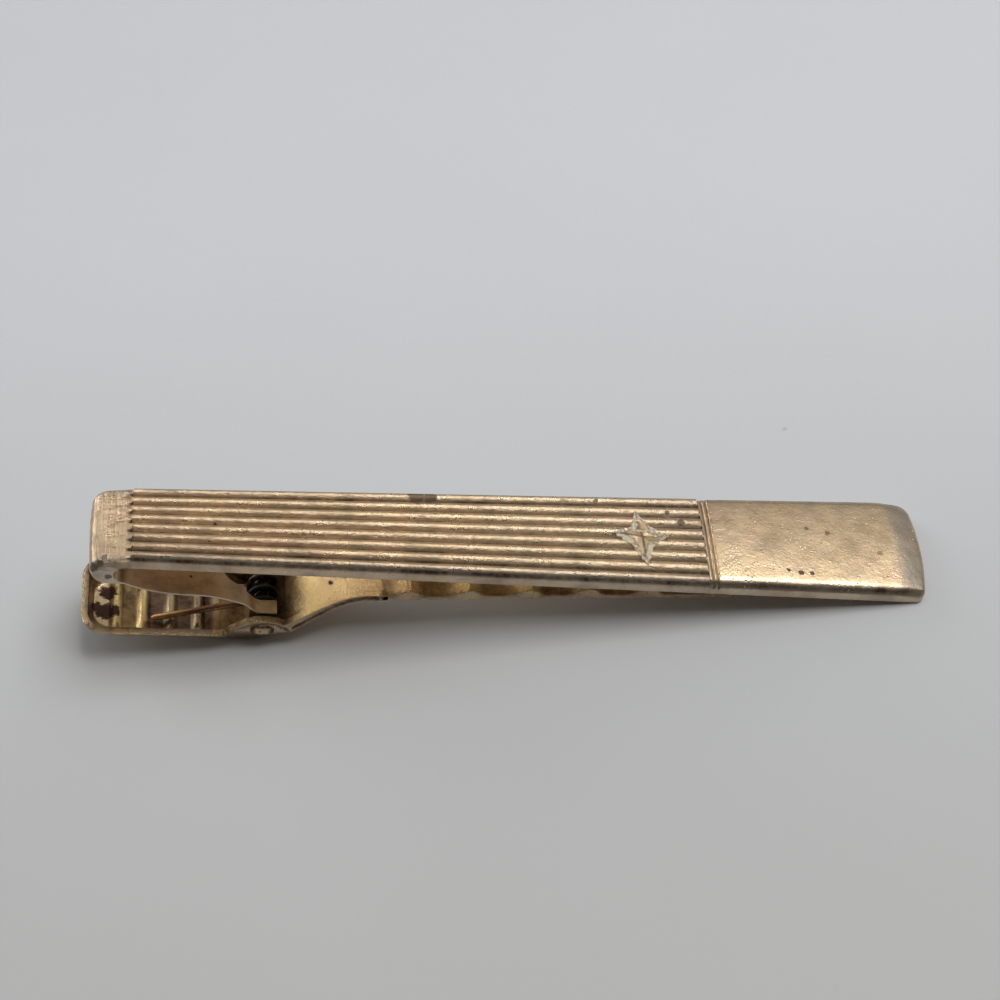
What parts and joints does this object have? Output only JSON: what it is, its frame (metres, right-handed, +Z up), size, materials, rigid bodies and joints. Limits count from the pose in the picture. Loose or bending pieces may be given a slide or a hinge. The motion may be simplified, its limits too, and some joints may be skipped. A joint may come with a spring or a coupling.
{
  "type": "hinged tie clip",
  "caption": "Slim sprung tie clip: a ribbed, tapered face bar folded back into a leg, and a toothed jaw lever with a thumb tray.",
  "frame": {"origin": "middle of the bounding box, on the surface the clip lies on", "axes": "+X from the fold to the bar's free end, +Z up out of the ornamental face, +Y across the bar"},
  "size_m": [0.061, 0.0088, 0.0115],
  "materials": {
    "bar_plate": "worn satin rose-gold plate with grey pitted edges",
    "lever_plate": "worn gold plate, brighter inside",
    "pin_metal": "dull worn plate",
    "spring_wire": "copper-coloured drawn wire"
  },
  "bodies": {
    "lever": {"jaw_lever": "lever_plate", "hinge_pin": "pin_metal", "torsion_spring": "spring_wire"},
    "bar": {"front_bar": "bar_plate"}
  },
  "joints": [
    {"name": "jaw_hinge", "type": "hinge", "parent": "lever", "child": "bar", "pos_m": [-0.01768, 0, 0.00217], "axis": [0, -1, 0], "range_deg": [0, 20], "stiffness_Nm_per_rad": 0.035, "springref_deg": -85.94, "deforming": ["torsion_spring"]}
  ]
}
